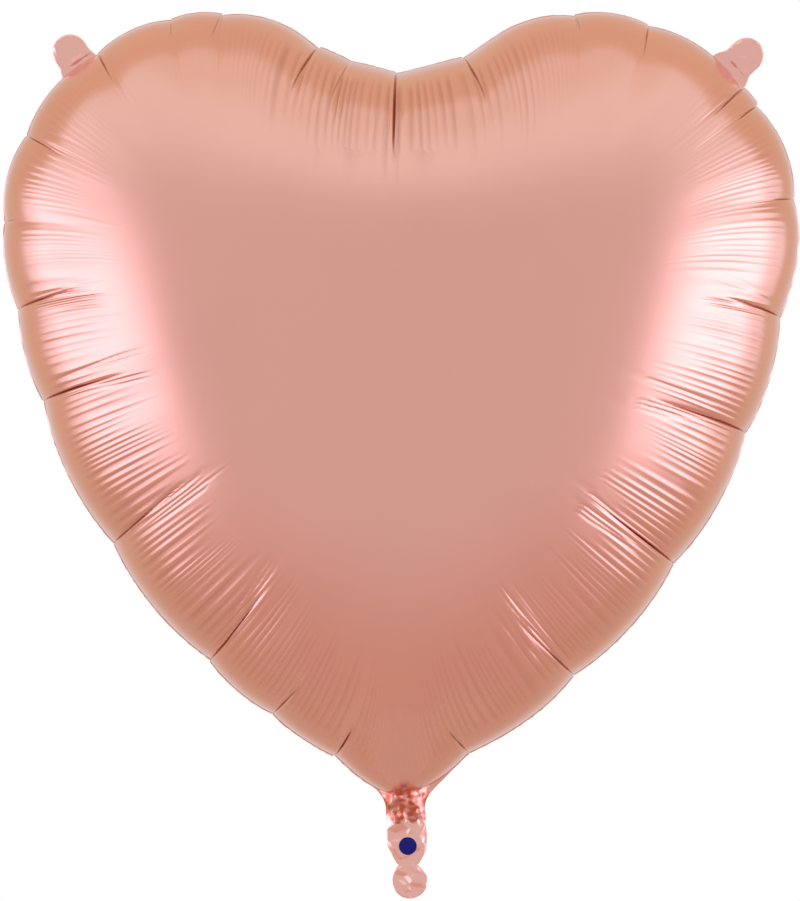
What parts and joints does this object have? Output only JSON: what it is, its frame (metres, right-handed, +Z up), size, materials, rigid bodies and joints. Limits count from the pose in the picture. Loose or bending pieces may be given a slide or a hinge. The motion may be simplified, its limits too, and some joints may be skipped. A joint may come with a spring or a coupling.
{
  "type": "heart-shaped foil balloon",
  "caption": "Large inflated heart-shaped foil balloon with a puckered seam, hanging tabs on the lobes and a flat filling neck that ends in a round tail.",
  "frame": {"origin": "where the filling neck leaves the heart, in the plane of the seam", "axes": "+Z up through the heart, +X to the right as seen from the front, and the front crown faces -Y"},
  "size_m": [0.74, 0.326, 0.8252],
  "materials": {
    "heart_foil": "rose-gold metallised film with a satin mirror sheen, puckered along the seam",
    "flat_foil": "rose-gold metallised film, flat and crumpled",
    "valve_film": "thin clear polyethylene film",
    "dot_ink": "blue printing ink on the film"
  },
  "bodies": {
    "heart": {"front_panel": "heart_foil", "back_panel": "heart_foil", "valve_front_stem": "valve_film", "valve_back_stem": "valve_film"},
    "neck": {"neck_front_layer": "flat_foil", "neck_back_layer": "flat_foil", "valve_front_inlet": "valve_film", "valve_back_inlet": "valve_film", "inflation_dot": "dot_ink"},
    "tail": {"tail_front_layer": "flat_foil", "tail_back_layer": "flat_foil"},
    "left_tab": {"left_tab_front_layer": "flat_foil", "left_tab_back_layer": "flat_foil"},
    "right_tab": {"right_tab_front_layer": "flat_foil", "right_tab_back_layer": "flat_foil"},
    "valve_front": {"valve_front_flap": "valve_film"},
    "valve_back": {"valve_back_flap": "valve_film"}
  },
  "joints": [
    {"name": "neck_bend", "type": "hinge", "parent": "heart", "child": "neck", "pos_m": [0, 0, 0], "axis": [0.9954, 0, 0.0958], "range_deg": [-75, 75]},
    {"name": "tail_bend", "type": "hinge", "parent": "neck", "child": "tail", "pos_m": [0.00575, 0, -0.05972], "axis": [0.9954, 0, 0.0958], "range_deg": [-85, 85]},
    {"name": "left_tab_fold", "type": "hinge", "parent": "heart", "child": "left_tab", "pos_m": [-0.30691, 0, 0.68656], "axis": [0.749, 0, 0.6626], "range_deg": [-80, 80], "stiffness_Nm_per_rad": 0.001},
    {"name": "right_tab_fold", "type": "hinge", "parent": "heart", "child": "right_tab", "pos_m": [0.30691, 0, 0.68656], "axis": [0.749, 0, -0.6626], "range_deg": [-80, 80], "stiffness_Nm_per_rad": 0.001},
    {"name": "valve_back_open", "type": "hinge", "parent": "heart", "child": "valve_back", "pos_m": [-0.0023, 0, 0.02389], "axis": [-0.9954, 0, -0.0958], "range_deg": [0, 8], "stiffness_Nm_per_rad": 0.001},
    {"name": "valve_front_open", "type": "hinge", "parent": "heart", "child": "valve_front", "pos_m": [-0.0023, 0, 0.02389], "axis": [0.9954, 0, 0.0958], "range_deg": [0, 8], "stiffness_Nm_per_rad": 0.001}
  ],
  "couplings": [
    {"joint": "valve_front_open", "follows": "valve_back_open", "ratio": 1}
  ]
}
